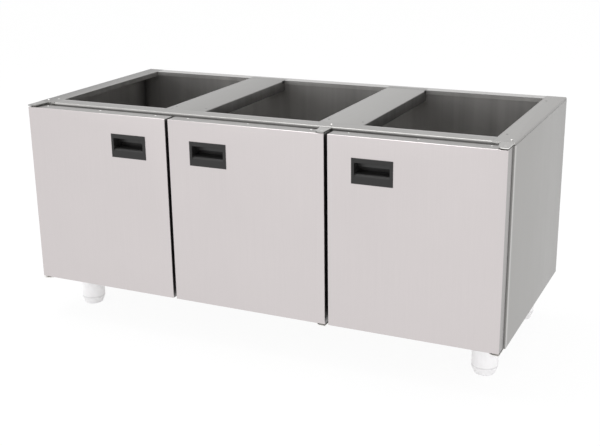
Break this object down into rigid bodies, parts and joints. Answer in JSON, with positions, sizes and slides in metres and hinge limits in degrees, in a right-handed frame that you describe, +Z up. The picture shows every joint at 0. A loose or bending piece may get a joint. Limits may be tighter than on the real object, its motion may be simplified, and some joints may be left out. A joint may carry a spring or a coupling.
{
  "type": "stainless steel equipment stand",
  "caption": "Low stainless steel stand with an open top frame for catering equipment, over a cupboard closed by hinged doors with recessed handles, on levelling feet.",
  "frame": {"origin": "on the floor, under the middle of the stand's bounding box", "axes": "+X along the width to the right seen from the front, +Y from the doors to the back, +Z up"},
  "size_m": [1.2, 0.5544, 0.5559],
  "materials": {
    "body_steel": "satin brushed",
    "door_steel": "satin brushed",
    "pin_steel": "bright turned",
    "black_plastic": "satin moulded",
    "magnet_black": "matt",
    "nylon": "turned",
    "white_plastic": "moulded"
  },
  "bodies": {
    "carcass": {"left_side_panel": "body_steel", "right_side_panel": "body_steel", "back_panel": "body_steel", "bottom_panel": "body_steel", "left_top_strip": "body_steel", "right_top_strip": "body_steel", "left_crossmember": "body_steel", "right_crossmember": "body_steel", "front_top_rail": "body_steel", "rear_top_rail": "body_steel", "left_mullion": "body_steel", "right_mullion": "body_steel", "left_door_upper_hinge_plate": "body_steel", "left_door_upper_hinge_pin": "pin_steel", "left_door_upper_hinge_screw": "pin_steel", "left_door_lower_hinge_plate": "body_steel", "left_door_lower_hinge_pin": "pin_steel", "left_door_lower_hinge_screw": "pin_steel", "left_door_magnet_catch": "magnet_black", "middle_door_upper_hinge_plate": "body_steel", "middle_door_upper_hinge_pin": "pin_steel", "middle_door_upper_hinge_screw": "pin_steel", "middle_door_lower_hinge_plate": "body_steel", "middle_door_lower_hinge_pin": "pin_steel", "middle_door_lower_hinge_screw": "pin_steel", "middle_door_magnet_catch": "magnet_black", "right_door_upper_hinge_plate": "body_steel", "right_door_upper_hinge_pin": "pin_steel", "right_door_upper_hinge_screw": "pin_steel", "right_door_lower_hinge_plate": "body_steel", "right_door_lower_hinge_pin": "pin_steel", "right_door_lower_hinge_screw": "pin_steel", "right_door_magnet_catch": "magnet_black", "front_left_foot_sleeve": "white_plastic", "front_right_foot_sleeve": "white_plastic", "back_left_foot_sleeve": "white_plastic", "back_right_foot_sleeve": "white_plastic"},
    "left_door": {"left_door_skin": "door_steel", "left_door_liner": "body_steel", "left_door_handle_cup": "black_plastic", "left_door_upper_bush": "nylon", "left_door_lower_bush": "nylon"},
    "middle_door": {"middle_door_skin": "door_steel", "middle_door_liner": "body_steel", "middle_door_handle_cup": "black_plastic", "middle_door_upper_bush": "nylon", "middle_door_lower_bush": "nylon"},
    "right_door": {"right_door_skin": "door_steel", "right_door_liner": "body_steel", "right_door_handle_cup": "black_plastic", "right_door_upper_bush": "nylon", "right_door_lower_bush": "nylon"},
    "front_left_foot": {"front_left_foot_adjuster": "white_plastic"},
    "front_right_foot": {"front_right_foot_adjuster": "white_plastic"},
    "back_left_foot": {"back_left_foot_adjuster": "white_plastic"},
    "back_right_foot": {"back_right_foot_adjuster": "white_plastic"}
  },
  "joints": [
    {"name": "left_door_swing", "type": "hinge", "parent": "carcass", "child": "left_door", "pos_m": [-0.586, -0.26175, 0.1057], "axis": [0, 0, -1], "range_deg": [0, 110]},
    {"name": "middle_door_swing", "type": "hinge", "parent": "carcass", "child": "middle_door", "pos_m": [0.186, -0.26175, 0.1057], "axis": [0, 0, 1], "range_deg": [0, 95]},
    {"name": "right_door_swing", "type": "hinge", "parent": "carcass", "child": "right_door", "pos_m": [0.586, -0.26175, 0.1057], "axis": [0, 0, 1], "range_deg": [0, 110]},
    {"name": "front_left_foot_screw", "type": "slide", "parent": "carcass", "child": "front_left_foot", "axis": [0, 0, 1], "range_m": [-0.03, 0]},
    {"name": "front_right_foot_screw", "type": "slide", "parent": "carcass", "child": "front_right_foot", "axis": [0, 0, 1], "range_m": [-0.03, 0]},
    {"name": "back_left_foot_screw", "type": "slide", "parent": "carcass", "child": "back_left_foot", "axis": [0, 0, 1], "range_m": [-0.03, 0]},
    {"name": "back_right_foot_screw", "type": "slide", "parent": "carcass", "child": "back_right_foot", "axis": [0, 0, 1], "range_m": [-0.03, 0]}
  ]
}
